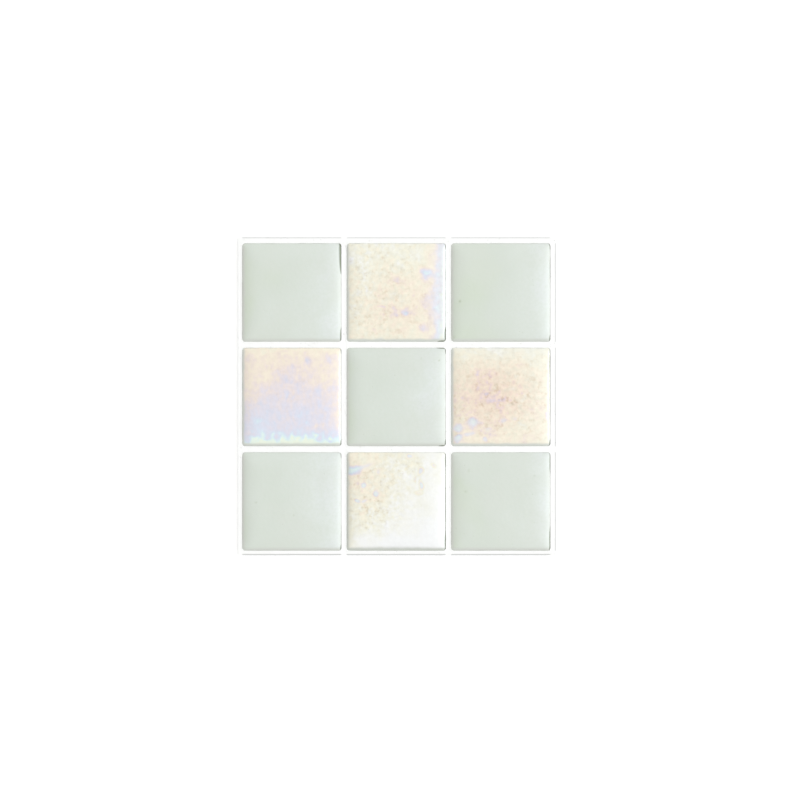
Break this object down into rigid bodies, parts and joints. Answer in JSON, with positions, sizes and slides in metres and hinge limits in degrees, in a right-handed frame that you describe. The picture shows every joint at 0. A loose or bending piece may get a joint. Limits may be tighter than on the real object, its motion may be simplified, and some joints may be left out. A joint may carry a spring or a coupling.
{
  "type": "mosaic tile sheet",
  "caption": "Square piece of mosaic tiling: pressed glass tiles, plain sage and iridescent in a checkerboard, with rounded edges and white filled joints, on a glass-fibre net.",
  "frame": {"origin": "middle of the underside of the backing net", "axes": "+Z out of the tiles' faces, X along the rows from column 1 to column 3, +Y towards row 1"},
  "size_m": [0.079, 0.079, 0.0046],
  "materials": {
    "sage_glass": "satin",
    "lustre_glass": "gloss",
    "white_grout": "matte",
    "net_fibre": "matte"
  },
  "bodies": {
    "root": {"tile_r1_c1": "sage_glass", "tile_r1_c2": "lustre_glass", "tile_r1_c3": "sage_glass", "tile_r2_c1": "lustre_glass", "tile_r2_c2": "sage_glass", "tile_r2_c3": "lustre_glass", "tile_r3_c1": "sage_glass", "tile_r3_c2": "lustre_glass", "tile_r3_c3": "sage_glass", "grout_grid": "white_grout", "backing_mesh": "net_fibre"}
  },
  "joints": []
}
